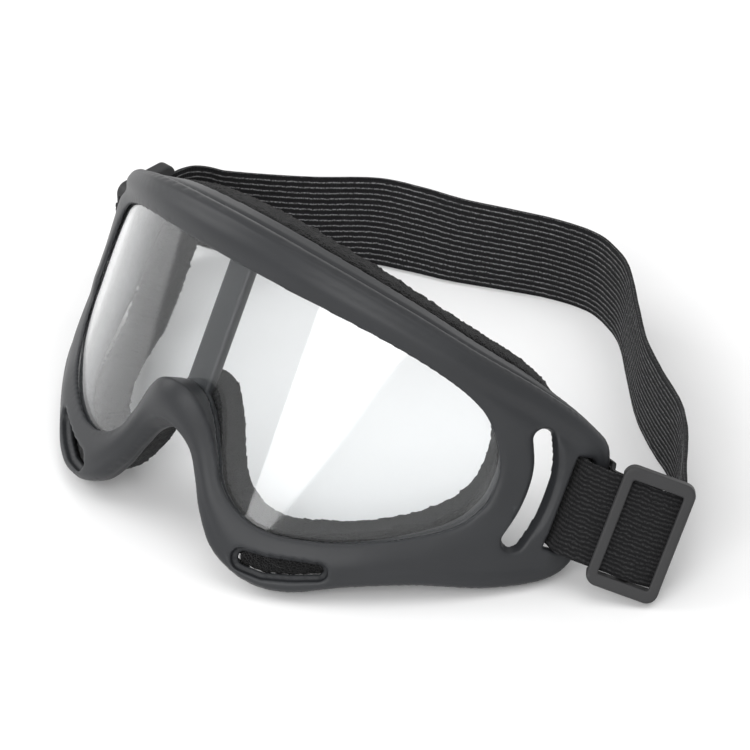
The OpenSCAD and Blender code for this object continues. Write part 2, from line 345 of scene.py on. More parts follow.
def skin(field, low, gap):
    """Points and four-sided faces of the surface where field is zero, solid where it is below.
    field is a 3-D grid, low its first corner and gap its spacing."""
    solid = field < 0
    shape = np.array(field.shape) - 1
    total = np.zeros((*shape, 3))
    count = np.zeros(tuple(shape))
    for axis in range(3):
        others = [a for a in range(3) if a != axis]
        first = [slice(None)] * 3
        second = [slice(None)] * 3
        first[axis], second[axis] = slice(0, -1), slice(1, None)
        f0, f1 = field[tuple(first)], field[tuple(second)]
        crossed = (f0 < 0) != (f1 < 0)
        t = np.where(crossed, f0 / np.where(crossed, f0 - f1, 1), 0)
        for da in (0, 1):
            for db in (0, 1):
                cut = [slice(None)] * 3
                cut[others[0]] = slice(da, da + shape[others[0]])
                cut[others[1]] = slice(db, db + shape[others[1]])
                c, u = crossed[tuple(cut)], t[tuple(cut)]
                total[..., axis] += c * u
                total[..., others[0]] += c * da
                total[..., others[1]] += c * db
                count += c
    used = count > 0
    ids = np.full(tuple(shape), -1)
    ids[used] = np.arange(used.sum())
    points = np.argwhere(used) + total[used] / count[used][:, None]
    faces = []
    for axis in range(3):
        b, c = (axis + 1) % 3, (axis + 2) % 3
        first = [slice(1, -1)] * 3
        second = [slice(1, -1)] * 3
        first[axis], second[axis] = slice(0, -1), slice(1, None)
        s0, s1 = solid[tuple(first)], solid[tuple(second)]
        for inside, outside, flip in ((s0, ~s1, False), (s1, ~s0, True)):
            at = np.argwhere(inside & outside)
            at[:, b] += 1
            at[:, c] += 1
            quad = []
            for ob, oc in ((1, 1), (0, 1), (0, 0), (1, 0)):
                k = at.copy()
                k[:, b] -= ob
                k[:, c] -= oc
                quad.append(ids[k[:, 0], k[:, 1], k[:, 2]])
            quad = np.stack(quad, -1)
            faces.append(quad[:, ::-1] if flip else quad)
    return np.asarray(low) + points * np.asarray(gap), np.concatenate(faces)


def grid(low, high, gap):
    axes = [np.arange(a, b + g, g) for a, b, g in zip(low, high, gap)]
    return np.meshgrid(*axes, indexing="ij")


def tube_faces(rows, columns, loop):
    """Faces between rows of points, each row a closed section."""
    j, k = np.meshgrid(np.arange(rows if loop else rows - 1), np.arange(columns))
    j, k = j.ravel(), k.ravel()
    a, b, k2 = j * columns, (j + 1) % rows * columns, (k + 1) % columns
    return np.stack([a + k, a + k2, b + k2, b + k], -1)


def capped_tube(rows, columns):
    """Faces of an open tube with its two ends closed. Each section runs out and back."""
    faces = tube_faces(rows, columns, False).tolist()
    for a in (0, (rows - 1) * columns):
        b = a + columns - 1
        for k in range(columns // 2 - 1):
            faces.append([a + k, a + k + 1, b - 1 - k, b - k])
    return faces


def face_outward(piece):
    """Turns faces outward, in case a section ran the other way round."""
    mesh = piece.data
    mesh.calc_loop_triangles()
    co = np.array([v.co for v in mesh.vertices])
    tri = np.array([t.vertices[:] for t in mesh.loop_triangles])
    a, b, c = co[tri[:, 0]], co[tri[:, 1]], co[tri[:, 2]]
    if np.einsum("ij,ij->i", a, np.cross(b, c)).sum() < 0:
        mesh.flip_normals()
    return piece


# ---------------------------------------------------------------- finishes


class Finish:
    """A material under construction: short ways to add and join its nodes."""

    def __init__(self, name):
        self.material = bpy.data.materials.new(name)
        self.material.use_nodes = True
        self.tree = self.material.node_tree
        self.shader = self.tree.nodes["Principled BSDF"]
        self.out = self.tree.nodes["Material Output"]

    def put(self, socket, value):
        if isinstance(value, bpy.types.NodeSocket):
            self.tree.links.new(value, socket)
        elif isinstance(value, (tuple, list)) or hasattr(value, "__len__"):
            value = tuple(value)
            socket.default_value = value + (1,) * (len(socket.default_value) - len(value))
        else:
            socket.default_value = value

    def node(self, kind, out=0, settings=None, **inputs):
        n = self.tree.nodes.new(kind)
        for key, value in (settings or {}).items():
            setattr(n, key, value)
        for key, value in inputs.items():
            numbered = key[0] == "i" and key[1:].isdigit()
            socket = int(key[1:]) if numbered else key.replace("_", " ")
            self.put(n.inputs[socket], value)
        return n.outputs[out]

    def maths(self, operation, a, b=0.0, c=0.0):
        return self.node("ShaderNodeMath", settings={"operation": operation}, i0=a, i1=b, i2=c)

    def noise(self, where, scale, detail=2.0, rough=0.5):
        return self.node(
            "ShaderNodeTexNoise", Vector=where, Scale=scale, Detail=detail, Roughness=rough
        )

    def stretched(self, along, across, per_along, per_across, detail, rough=0.5):
        """Noise over the weave, with its own scale along and across the strap."""
        x = self.maths("MULTIPLY", along, per_along)
        y = self.maths("MULTIPLY", across, per_across)
        return self.noise(self.node("ShaderNodeCombineXYZ", i0=x, i1=y), 1.0, detail, rough)

    def ramp(self, value, low, high, to_low=0.0, to_high=1.0):
        return self.node(
            "ShaderNodeMapRange", i0=value, i1=low, i2=high, i3=to_low, i4=to_high
        )

    def blend(self, share, a, b):
        n = self.tree.nodes.new("ShaderNodeMix")
        n.data_type = "RGBA"
        for i, value in ((0, share), (6, a), (7, b)):
            self.put(n.inputs[i], value)
        return n.outputs[2]

    def bump(self, height, distance, strength=1.0, normal=None):
        n = self.tree.nodes.new("ShaderNodeBump")
        self.put(n.inputs["Height"], height)
        n.inputs["Distance"].default_value = distance
        n.inputs["Strength"].default_value = strength
        if normal is not None:
            self.put(n.inputs["Normal"], normal)
        return n.outputs[0]

    def set(self, **inputs):
        for key, value in inputs.items():
            self.put(self.shader.inputs[key.replace("_", " ")], value)
        return self


def object_place(f):
    return f.tree.nodes.new("ShaderNodeTexCoord").outputs["Object"]


def shade(value, amount):
    return tuple(c * amount for c in value)


def frame_finish():
    """Satin soft plastic, with a moulded grain and edges rubbed a little lighter."""
    f = Finish("soft_frame_plastic")
    where = object_place(f)
    base = settings().shell.plastic
    cloud = f.noise(where, 45.0, 3.0)
    grain = f.noise(where, 2600.0, 2.0, 0.6)
    worn = f.node("ShaderNodeNewGeometry", out=7)
    edge = f.ramp(worn, 0.52, 0.62)
    body = f.blend(f.ramp(cloud, 0.3, 0.7), shade(base, 0.92), shade(base, 1.08))
    tone = f.blend(f.maths("MULTIPLY", edge, 0.5), body, shade(base, 2.0))
    rough = f.maths(
        "ADD", f.ramp(cloud, 0.3, 0.7, 0.40, 0.47), f.ramp(grain, 0.3, 0.7, -0.02, 0.03)
    )
    f.set(
        Base_Color=tone,
        Roughness=rough,
        IOR=1.5,
        Normal=f.bump(grain, 0.00004, 0.55),
    )
    f.shader.inputs["Specular IOR Level"].default_value = 0.33
    return f.material


def lens_finish():
    """Clear polycarbonate with a hard coat, which lets lamps through."""
    f = Finish("clear_lens_glass")
    where = object_place(f)
    smear = f.noise(where, 60.0, 4.0, 0.6)
    f.set(
        Base_Color=settings().lens.tint,
        Roughness=f.ramp(smear, 0.35, 0.75, 0.015, 0.05),
        IOR=1.52,
    )
    f.shader.inputs["Transmission Weight"].default_value = 1.0
    f.shader.inputs["Specular IOR Level"].default_value = 0.3
    clear = f.tree.nodes.new("ShaderNodeBsdfTransparent")
    clear.inputs[0].default_value = (0.93, 0.94, 0.945, 1)
    rays = f.tree.nodes.new("ShaderNodeLightPath")
    mix = f.tree.nodes.new("ShaderNodeMixShader")
    f.put(mix.inputs[0], rays.outputs["Is Shadow Ray"])
    f.put(mix.inputs[1], f.shader.outputs[0])
    f.put(mix.inputs[2], clear.outputs[0])
    f.put(f.out.inputs[0], mix.outputs[0])
    return f.material


def foam_finish():
    """Open-cell foam: the pores are painted darker than the lighter cell walls, as painted
    shade in the hollows.
    """
    f = Finish("open_cell_foam")
    where = object_place(f)
    base = settings().foam.black
    cells = f.node(
        "ShaderNodeTexVoronoi",
        settings={"feature": "DISTANCE_TO_EDGE"},
        Vector=where,
        Scale=1500.0,
    )
    fuzz = f.noise(where, 3200.0, 3.0, 0.7)
    cloud = f.noise(where, 160.0, 2.0)
    # painted shade: the pores darker than the cell walls
    wall = f.ramp(cells, 0.02, 0.16, 1.0, 0.0)
    speck = f.ramp(fuzz, 0.64, 0.76)
    tone = f.blend(wall, shade(base, 0.7), shade(base, 2.2))
    speck = f.maths("MULTIPLY", speck, f.ramp(cloud, 0.4, 0.6, 0.15, 0.6))
    tone = f.blend(speck, tone, shade(base, 16.0))
    height = f.maths("ADD", f.maths("MULTIPLY", wall, 0.6), f.maths("MULTIPLY", fuzz, 0.8))
    f.set(
        Base_Color=tone,
        Roughness=f.ramp(fuzz, 0.3, 0.7, 0.85, 1.0),
        Normal=f.bump(height, 0.0004, 0.9),
    )
    f.shader.inputs["Specular IOR Level"].default_value = 0.15
    f.shader.inputs["Sheen Weight"].default_value = 0.12
    return f.material


def webbing_finish(name, inner_ribs, outer_ribs):
    """Ribbed elastic webbing, with a painted highlight of light specks along the rib crests,
    strong on the inner face and faint on the outer. Its UV map runs along and across the strap
    in millimetres.
    """
    f = Finish(name)
    place = f.tree.nodes.new("ShaderNodeUVMap")
    place.uv_map = "weave"
    split = f.tree.nodes.new("ShaderNodeSeparateXYZ")
    f.put(split.inputs[0], place.outputs[0])
    along, across = split.outputs[0], split.outputs[1]
    side = f.node("ShaderNodeAttribute", out=2, settings={"attribute_name": "outer_face"})
    where = object_place(f)
    own = settings().strap
    wave = f.maths("SUBTRACT", f.stretched(along, across, 0.5, 0.35, 2.0), 0.5)
    shift = f.maths("MULTIPLY", wave, f.ramp(side, 0.0, 1.0, 0.5, 1.3))
    drifted = f.maths("ADD", across, shift)
    ribs = f.ramp(side, 0.0, 1.0, inner_ribs, outer_ribs)
    turns = f.maths("MULTIPLY", ribs, 2 * math.pi)
    turn = f.maths("MULTIPLY", f.maths("DIVIDE", drifted, own.width / MM), turns)
    crest = f.maths("COSINE", turn)
    highlight_fleck = f.stretched(along, across, 1.7, 2.6, 3.0, 0.7)
    yarn = f.maths("COSINE", f.maths("MULTIPLY", along, 2 * math.pi / 0.55))
    fibre = f.noise(where, 5200.0, 2.0, 0.7)
    # painted highlight: light specks along the rib crests, faint on the outer face
    line = f.ramp(crest, f.ramp(side, 0.0, 1.0, 0.55, -0.5), 0.98)
    light = f.maths("MULTIPLY", line, f.ramp(highlight_fleck, 0.36, 0.72))
    light = f.maths("MULTIPLY", light, f.ramp(side, 0.0, 1.0, 1.0, 0.13))
    base = f.blend(f.ramp(fibre, 0.3, 0.7), shade(own.black, 0.7), shade(own.black, 1.5))
    # the painted highlight laid over the webbing's own dark tone
    tone = f.blend(light, base, own.highlight_fleck)
    height = f.maths("ADD", f.maths("MULTIPLY", crest, 0.5), f.maths("MULTIPLY", yarn, 0.16))
    height = f.maths("ADD", height, f.maths("MULTIPLY", fibre, 0.3))
    f.set(
        Base_Color=tone,
        Roughness=f.ramp(fibre, 0.3, 0.7, 0.7, 0.92),
        Normal=f.bump(height, 0.00022, 0.9),
    )
    f.shader.inputs["Specular IOR Level"].default_value = 0.15
    f.shader.inputs["Sheen Weight"].default_value = 0.03
    return f.material


def slider_finish():
    """Hard moulded plastic with a spark-eroded matt skin."""
    f = Finish("matt_slider_plastic")
    where = object_place(f)
    base = settings().slider.plastic
    cloud = f.noise(where, 120.0, 3.0)
    grain = f.noise(where, 3400.0, 2.0, 0.6)
    edge = f.ramp(f.node("ShaderNodeNewGeometry", out=7), 0.52, 0.6)
    body = f.blend(f.ramp(cloud, 0.3, 0.7), shade(base, 0.93), shade(base, 1.07))
    f.set(
        Base_Color=f.blend(f.maths("MULTIPLY", edge, 0.5), body, shade(base, 2.0)),
        Roughness=f.ramp(grain, 0.3, 0.7, 0.46, 0.58),
        IOR=1.49,
        Normal=f.bump(grain, 0.00003, 0.5),
    )
    f.shader.inputs["Specular IOR Level"].default_value = 0.35
    return f.material


def floor_finish():
    f = Finish("table_white")
    fine = f.noise(object_place(f), 30.0, 3.0)
    f.set(
        Base_Color=f.blend(f.ramp(fine, 0.3, 0.7), (0.86, 0.86, 0.862), (0.88, 0.88, 0.88)),
        Roughness=f.ramp(fine, 0.3, 0.7, 0.75, 0.85),
    )
    f.shader.inputs["Specular IOR Level"].default_value = 0.2
    return f.material


# ---------------------------------------------------------------- stage

CAMERA_TURN = math.radians(44.1)
CAMERA_LIFT = math.radians(35.8)
CAMERA_FAR = 1.0
CAMERA_LENS = 192.0
AIM = (0.0238, -0.0306, 0.0441)


def look_at(thing, target):
    back = (thing.location - Vector(target)).normalized()
    thing.rotation_euler = back.to_track_quat("Z", "Y").to_euler()


def lamp(name, place, target, size, power, shape=None):
    data = bpy.data.lights.new(name, "AREA")
    data.energy = power
    data.size = size
    if shape:
        data.shape, data.size_y = "RECTANGLE", shape
    thing = bpy.data.objects.new(name, data)
    thing.location = place
    bpy.context.scene.collection.objects.link(thing)
    look_at(thing, target)


class GOGGLES_OT_stage(bpy.types.Operator):
    """Camera, white table and soft studio light"""

    bl_idname = "goggles.stage"
    bl_label = "Stage"

    def execute(self, context):
        scene = context.scene
        data = bpy.data.cameras.new("camera")
        data.lens = CAMERA_LENS
        data.sensor_width = 36
        data.clip_start, data.clip_end = 0.05, 50
        camera = bpy.data.objects.new("camera", data)
        scene.collection.objects.link(camera)
        flat = math.cos(CAMERA_LIFT)
        back = Vector(
            (
                math.sin(CAMERA_TURN) * flat,
                -math.cos(CAMERA_TURN) * flat,
                math.sin(CAMERA_LIFT),
            )
        )
        camera.location = Vector(AIM) + back * CAMERA_FAR
        look_at(camera, AIM)
        scene.camera = camera
        scene.view_settings.view_transform = "Standard"

        half = 4.0
        low = cad_box[0][2] - 0.0001
        signs = ((-1, -1), (1, -1), (1, 1), (-1, 1))
        corners = [(x * half, y * half, low) for x, y in signs]
        floor = add_mesh("table_top", corners, [(0, 1, 2, 3)], smooth=False)
        floor.data.materials.append(floor_finish())

        lamp("top_softbox", (0.25, 0.1, 1.3), (0, 0, 0.02), 1.1, 5.0)
        lamp("left_softbox", (-1.1, -0.5, 0.75), (0, 0, 0.04), 0.9, 7.0)
        lamp("front_softbox", (0.5, -1.3, 0.85), (0, 0, 0.04), 1.1, 13.0)
        world = bpy.data.worlds.new("studio")
        world.use_nodes = True
        world.node_tree.nodes["Background"].inputs[0].default_value = (1, 1, 1, 1)
        world.node_tree.nodes["Background"].inputs[1].default_value = 0.75
        scene.world = world
        return {"FINISHED"}


# ---------------------------------------------------------------- frame


class RimFields:
    """Distances to the rim's outlines and its wall depths, on a fine flat grid."""

    LOW, HIGH, GAP = (-2.0, -48.0), (118.0, 48.0), 0.6

    def __init__(self):
        s = np.arange(self.LOW[0], self.HIGH[0], self.GAP)
        v = np.arange(self.LOW[1], self.HIGH[1], self.GAP)
        p = np.stack(np.meshgrid(s, v, indexing="ij"), -1)
        steps = 12
        hole, edge = rim_loop(0, steps), rim_loop(1, steps)
        closed = lambda loop: np.concatenate([loop, loop[:1]])
        gap, _ = to_path(p, closed(hole))
        self.hole = np.where(within(p, hole), -gap, gap)
        gap, _ = to_path(p, closed(edge))
        self.edge = np.where(within(p, edge), gap, -gap)
        _, place = to_path(p, closed((hole + edge) / 2))
        wheel = lambda c: np.append(rim_value(c, steps), RIM[0][c])
        rows = range(len(hole) + 1)
        self.inner = np.interp(place, rows, wheel(3))
        self.outer = np.interp(place, rows, wheel(4))
        self.climb = np.interp(place, rows, wheel(5))

    def read(self, table, s, v):
        a = np.clip((s - self.LOW[0]) / self.GAP, 0, table.shape[0] - 1.001)
        b = np.clip((v - self.LOW[1]) / self.GAP, 0, table.shape[1] - 1.001)
        i, j = a.astype(int), b.astype(int)
        a, b = a - i, b - j
        return (
            table[i, j] * (1 - a) * (1 - b)
            + table[i + 1, j] * a * (1 - b)
            + table[i, j + 1] * (1 - a) * b
            + table[i + 1, j + 1] * a * b
        )


def front_height(s, v, w, e, bridge):
    """How proud the front face is, w from the opening and e from the outer edge."""
    half = np.maximum((w + e) / 2, 2.6)
    rise = 0.25 + 0.95 * np.sin(np.clip((w - 1.2) / (half - 1.2), 0, 1) * np.pi / 2)
    fall = 0.3 + 0.9 * np.sin(np.clip((e - 2.2) / (half - 2.2), 0, 1) * np.pi / 2)
    h = np.minimum(rise, fall)
    h = np.where(w < 1.2, 0.15 - 0.4 * (1 - w / 1.2) ** 2, h)
    round_edge = -1.9 + 2.2 * np.sqrt(np.clip(1 - (1 - e / 2.2) ** 2, 0, 1))
    h = np.where(e < 2.2, np.minimum(round_edge, h), h)
    swell = bridge * np.exp(-((s / 13) ** 2) - ((v + 3) / 13) ** 2)
    temple = step(s, 52, 78)
    valley = np.exp(-(((e - 6.4) / 1.5) ** 2)) * temple * step(v, 0, 8)
    valley = valley * (1 - step(s, 96, 103))
    ridge = np.exp(-(((e - 3.2) / 1.2) ** 2)) * temple * step(v, 0, 8)
    flange = step(e, 3.4, 4.6) * step(s, 56, 72) * (1 - step(v, -9, -3))
    eased = flange * (1 - step(s, 100, 104))
    return h + swell * step(e, 0, 2) - 0.8 * valley + 0.45 * ridge - 0.55 * eased


def shell_solid(fields, s, v, n, own):
    lip, wall = own.lip / MM, own.wall / MM
    t = np.maximum(-n - LIP_BACK, 0)
    u = v - fields.read(fields.climb, s, v) * t
    u = v - fields.read(fields.climb, s, u) * t
    w, e = fields.read(fields.hole, s, u), fields.read(fields.edge, s, u)
    inner, outer = fields.read(fields.inner, s, u), fields.read(fields.outer, s, u)

    top = front_height(s, v, w, e, own.bridge / MM)
    line_n = -(0.9 + 0.4 * outer)
    above = step(u, -6, 4)
    crease = own.crease / MM * np.exp(-(((n - line_n) / 0.5) ** 2)) * above
    e = e - crease + 0.25 * (n < line_n) * above

    plate = meet(all_of(n - top, -w, -e), -lip - n, 0.5)
    side = meet(meet(-e, n - top, 0.3), meet(e - wall, -outer - n, 0.7), 0.5)
    groove = all_of(w - 3.4, -LENS_BACK - n, n + LENS_FACE)
    taper = 3.4 + 2.2 * np.clip((n + LIP_BACK) / 2, 0, 1)
    seat = all_of(3.4 - w, w - taper, n + LENS_FACE, -LIP_BACK - n)
    lug = meet(all_of(0.6 - w, w - 3.6, n + LENS_BACK), -LIP_BACK - n, 0.3)
    inside = meet(all_of(1.4 - w, w - 3.4, n + LIP_BACK - 0.2), -inner - n, 0.6)
    solid = join(plate, side, 1.2)
    solid = join(solid, seat, 0.6)
    solid = join(solid, lug, 0.3)
    solid = join(solid, inside, 0.5)
    solid = np.maximum(solid, -groove)
    half = own.post / MM / 2
    post = meet(np.abs(s) - half, np.abs(n + LENS_BACK + 1.9) - 1.6, 0.7)
    solid = join(solid, all_of(post, np.abs(v - 15.2) - 19.2), 0.8)

    line = spline(CRESCENT, 6)
    gap, _ = to_path(np.stack([s[:, :, 0], v[:, :, 0]], -1), line)
    gap_right, _ = to_path(np.stack([s[:, :, 0] - 0.9, v[:, :, 0]], -1), line)
    hole = all_of(gap[..., None] - 1.75, -8 - n)
    funnel = 2.0 + 1.3 * np.clip((n + lip) / 3.2, 0, 1) + 0.9 * (n > 0.35)
    hole = np.minimum(hole, all_of(gap_right[..., None] - funnel, -lip - 0.2 - n))
    vent = beads(VENT)(s[:, :, 0], v[:, :, 0])[..., None]
    vent = np.minimum(all_of(vent, -lip - 1 - n), all_of(vent - 1.3, -1.3 - n))
    box = meet(np.abs(s - SLOT_S) - 2.7, np.abs(v - SLOT_V) - 12.75, 1.0)
    cut = np.minimum.reduce([hole, vent, all_of(box, -9 - n)])
    return meet(solid, -cut, 0.35)


class GOGGLES_OT_frame(bpy.types.Operator):
    """Moulded frame: front lip, walls, lens groove, post, temple slots and vents"""

    bl_idname = "goggles.frame"
    bl_label = "Frame"

    def execute(self, context):
        own = settings().shell
        gap = (0.68, 0.66, 0.62)
        low, high = (gap[0] / 2, -46.0, -21.5), (115.0, 48.5, 8.4)
        s, v, n = grid(low, high, gap)
        half = shell_solid(RimFields(), s, v, n, own)
        both = np.concatenate([half[::-1], half])
        start = (low[0] - gap[0] * half.shape[0], low[1], low[2])
        points, faces = skin(both, start, gap)
        shell = add_mesh("frame_shell_moulding", on_frame(*points.T), faces)
        shell.data.materials.append(frame_finish())
        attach(shell, "frame")
        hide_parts("frame_shell")
        return {"FINISHED"}


# ---------------------------------------------------------------- lens


class GOGGLES_OT_lens(bpy.types.Operator):
    """Curved clear lens held in the frame's groove"""

    bl_idname = "goggles.lens"
    bl_label = "Lens"

    def execute(self, context):
        own = settings().lens
        steps = 12
        hole, edge = rim_loop(0, steps), rim_loop(1, steps)
        away = edge - hole
        rim = hole + away / np.linalg.norm(away, axis=1)[:, None] * own.grip / MM
        last = (len(RIM) - 1) * steps
        rim = rim[: last + 1]
        peak = int(np.argmax(rim[:, 0]))
        columns, rows = 90, 36
        s = rim[peak, 0] * np.sin(np.linspace(-1, 1, 2 * columns + 1) * np.pi / 2)
        upper = np.interp(np.abs(s), rim[: peak + 1, 0], rim[: peak + 1, 1])
        lower = np.interp(np.abs(s), rim[peak:, 0][::-1], rim[peak:, 1][::-1])
        upper = np.maximum(upper, lower + 0.4)
        t = np.linspace(0, 1, rows + 1)
        v = lower[:, None] + (upper - lower)[:, None] * t
        across = np.repeat(s[:, None], rows + 1, 1)
        front = -LENS_FACE - 0.15
        back = front - own.thick / MM
        a, b = on_frame(across, v, front), on_frame(across, v, back)[:, ::-1]
        ring = np.concatenate([a, b], 1)
        faces = capped_tube(*ring.shape[:2])
        lens = add_mesh("clear_lens", ring.reshape(-1, 3), faces)
        finish_solid(lens, 40)
        lens.data.materials.append(lens_finish())
        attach(lens, "frame")
        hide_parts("lens")
        return {"FINISHED"}


def finish_solid(piece, angle):
    """Consistent outward faces and smooth shading, kept crisp past an angle."""
    b = bmesh.new()
    b.from_mesh(piece.data)
    bmesh.ops.recalc_face_normals(b, faces=b.faces)
    b.to_mesh(piece.data)
    b.free()
    piece.data.shade_smooth()
    piece.data.set_sharp_from_angle(angle=math.radians(angle))


# ---------------------------------------------------------------- foam


def rough_up(points, section_centre, size, pore, seed):
    """Pushes points out and in by fine noise, for a torn open-cell skin."""
    out = points - section_centre
    out /= np.maximum(np.linalg.norm(out, axis=-1, keepdims=True), 1e-9)
    mm = points / MM
    fine = cell_noise(mm, pore, seed) * 0.55 + cell_noise(mm, pore * 2.3, seed + 1) * 0.35
    tuft = np.maximum(cell_noise(mm, pore * 0.9, seed + 2) - 0.45, 0) * 1.2
    return points + out * ((fine + tuft) * size * MM)[..., None]


class GOGGLES_OT_face_foam(bpy.types.Operator):
    """Face foam: a fuzzy open-cell ring on the rear edges of the walls"""

    bl_idname = "goggles.face_foam"
    bl_label = "Face foam"

    def execute(self, context):
        own = settings().foam
        steps = 25
        hole, edge, rim = (rim_loop(c, steps) for c in (0, 1, 2))
        away = edge - hole
        near = hole + away / np.linalg.norm(away, axis=1)[:, None] * 0.8
        inner, climb = rim_value(3, steps), rim_value(5, steps)
        depth = rim_value(6, steps) * own.share
        around = np.linspace(0, 2 * np.pi, 84, endpoint=False)
        power = 0.42
        x = np.sign(np.cos(around)) * np.abs(np.cos(around)) ** power
        y = np.sign(np.sin(around)) * np.abs(np.sin(around)) ** power
        middle = (near + rim) / 2
        across = np.linalg.norm(rim - near, axis=1)[:, None]
        reach = (rim - near) * (0.5 - 0.15 / across)
        p = middle[:, None] + reach[:, None] * x[None, :, None]
        n = -(inner + 0.05 + depth / 2)[:, None] + (depth / 2 - 0.1)[:, None] * y
        v = p[..., 1] + climb[:, None] * np.maximum(-n - LIP_BACK, 0)
        ring = on_frame(p[..., 0], v, n)
        centre = ring.mean(1, keepdims=True)
        ring = rough_up(ring, centre, 0.7, own.pore / MM, 11)
        faces = tube_faces(*ring.shape[:2], True)
        foam = add_mesh("face_foam_ring", ring.reshape(-1, 3), faces)
        face_outward(foam)
        foam.data.materials.append(foam_finish())
        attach(foam, "frame")
        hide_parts("face_foam")
        return {"FINISHED"}


class GOGGLES_OT_vent_foam(bpy.types.Operator):
    """Foam pads behind the two lower vents"""

    bl_idname = "goggles.vent_foam"
    bl_label = "Vent foam"

    def execute(self, context):
        lip = settings().shell.lip / MM
        gap = (0.4, 0.4, 0.4)
        low = (26.5, -41.0, -7.0)
        s, v, n = grid(low, (53.5, -29.0, -2.0), gap)
        pad = beads(VENT, 0.4)(s[:, :, 0], v[:, :, 0])[..., None]
        solid = meet(pad, np.abs(n + lip + 0.1 + 1.5) - 1.45, 0.6)
        where = np.stack([s, v, n], -1)
        fine, coarse = cell_noise(where, 0.6, 5), cell_noise(where, 1.3, 6)
        solid = solid + 0.22 * fine + 0.18 * coarse + 0.12
        points, faces = skin(solid, low, gap)
        for name, flip in (("left", 1), ("right", -1)):
            place = on_frame(points[:, 0] * flip, points[:, 1], points[:, 2])
            pad = add_mesh(f"vent_foam_pad_{name}", place, faces[:, ::flip])
            pad.data.materials.append(foam_finish())
            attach(pad, "frame")
            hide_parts(f"vent_foam_{name}")
        return {"FINISHED"}


# ---------------------------------------------------------------- webbing

LEFT_C, LEFT_HEAD = (100.3, 62.9, 3.4), math.radians(37)
RIGHT_AT = np.array([-89, 67.4, 16.1])
LEFT_AT = (stood(np.array(LEFT_C)) / MM) + np.array([SHIFT_X, SHIFT_Y, 0])
LEFT_COS, LEFT_SIN = math.cos(LEFT_HEAD), math.sin(LEFT_HEAD)
LEFT_DIR = np.array([LEFT_COS, LEFT_SIN * math.cos(LEAN), -LEFT_SIN * math.sin(LEAN)])
LEFT_IN = np.array([-LEFT_SIN, LEFT_COS * math.cos(LEAN), -LEFT_COS * math.sin(LEAN)])


def by_slider(along, inward):
    return [*(LEFT_AT + LEFT_DIR * along + LEFT_IN * inward), 29]


# The band's middle line: x, y, height above the table, and lean of its upper edge in degrees
BAND = [
    by_slider(-8, 0),
    by_slider(-4, 0),
    by_slider(0, 0),
    by_slider(4.6, 0),
    by_slider(7.4, 1.2),
    by_slider(8.6, 3.6),
    [101.3, 69.2, 13, 16],
    [96.4, 76, 12.9, 8],
    [91, 83.5, 12.9, 4],
    [85.4, 90, 12.9, 3],
    [78, 96, 12.9, 4],
    [66, 102.6, 12.9, 5],
    [54, 110.4, 12.9, 5],
    [42, 120.8, 12.9, 5],
    [30, 131.4, 12.9, 5],
    [22, 136, 12.9, 5],
    [12, 138.4, 12.9, 5],
    [0, 135.8, 12.9, 6],
    [-12.5, 130.5, 12.8, 9],
    [-25.4, 124.6, 12.7, 13],
    [-38, 120.7, 12.4, 18],
    [-50, 115.7, 12.1, 22],
    [-63, 103.9, 12.1, 22],
    [-74, 95, 12.6, 16],
    [-82.4, 88.6, 13.6, 8],
    [-87.4, 84, 15.4, 2],
    [-89, 79.4, 15.8, 0],
    [-89, 73, 15.8, 0],
    [-89, 63, 15.8, 0],
    [-89, 56, 15.8, 0],
]


def even(path, gap):
    """The same line with points a steady gap apart, and how far along each one is."""
    run = np.append(0, np.cumsum(np.linalg.norm(np.diff(path[:, :3], axis=0), axis=1)))
    count = max(int(run[-1] / gap), 4)
    at = np.linspace(0, run[-1], count + 1)
    return np.stack([np.interp(at, run, path[:, c]) for c in range(path.shape[1])], -1), at


def webbing(name, line, up, along, profile=None, turned=1):
    """A ribbed strap along a line in millimetres, with its width along up.
    Ribs on each face, a rounded selvage, and a UV map along and across in millimetres."""
    own = settings().strap
    width, thick = own.width / MM, own.thick / MM
    ahead = np.gradient(line, axis=0)
    ahead /= np.linalg.norm(ahead, axis=1)[:, None]
    up = up - ahead * np.sum(up * ahead, 1)[:, None]
    up /= np.linalg.norm(up, axis=1)[:, None]
    out = np.cross(ahead, up) * turned
    per_face = 66
    t = np.linspace(-1, 1, per_face) * (width / 2 - 0.12)
    ends = np.clip((width / 2 - np.abs(t)) / 0.7, 0, 1)
    ends = np.sqrt(1 - (1 - ends) ** 2)
    rib = lambda count: 0.5 + 0.5 * np.cos(2 * np.pi * count * (t / width + 0.5))
    outer = (thick / 2 - 0.17 + 0.17 * rib(own.outer_ribs)) * ends
    inner = (thick / 2 - 0.2 + 0.2 * rib(own.inner_ribs)) * ends
    across = np.concatenate([t, t[::-1]])
    depth = np.concatenate([outer, -inner[::-1]])
    face = np.concatenate([np.ones(per_face), np.zeros(per_face)])
    where = line[:, None] + up[:, None] * across[None, :, None]
    run, wide = np.broadcast_arrays(along[:, None], across[None])
    crumple = cell_noise(np.stack([run, wide, 0 * run], -1), 1.6, 3)
    lift = depth[None] + 0.05 * crumple * np.sign(depth)[None]
    if profile is not None:
        lift = lift + profile[:, None]
    points = (where + out[:, None] * lift[..., None]) * MM
    rows, columns = points.shape[:2]
    faces = capped_tube(rows, columns)
    piece = add_mesh(name, points.reshape(-1, 3), faces)
    mesh = piece.data
    attribute = mesh.attributes.new("outer_face", "FLOAT", "POINT")
    attribute.data.foreach_set("value", np.tile(face, rows).astype(np.float32))
    uv = mesh.uv_layers.new(name="weave")
    corner = np.zeros(len(mesh.loops), np.int32)
    mesh.loops.foreach_get("vertex_index", corner)
    place = np.stack([np.repeat(along, columns), np.tile(across, rows)], -1)[corner]
    uv.data.foreach_set("uv", place.astype(np.float32).ravel())
    finish_solid(piece, 70)
    return piece


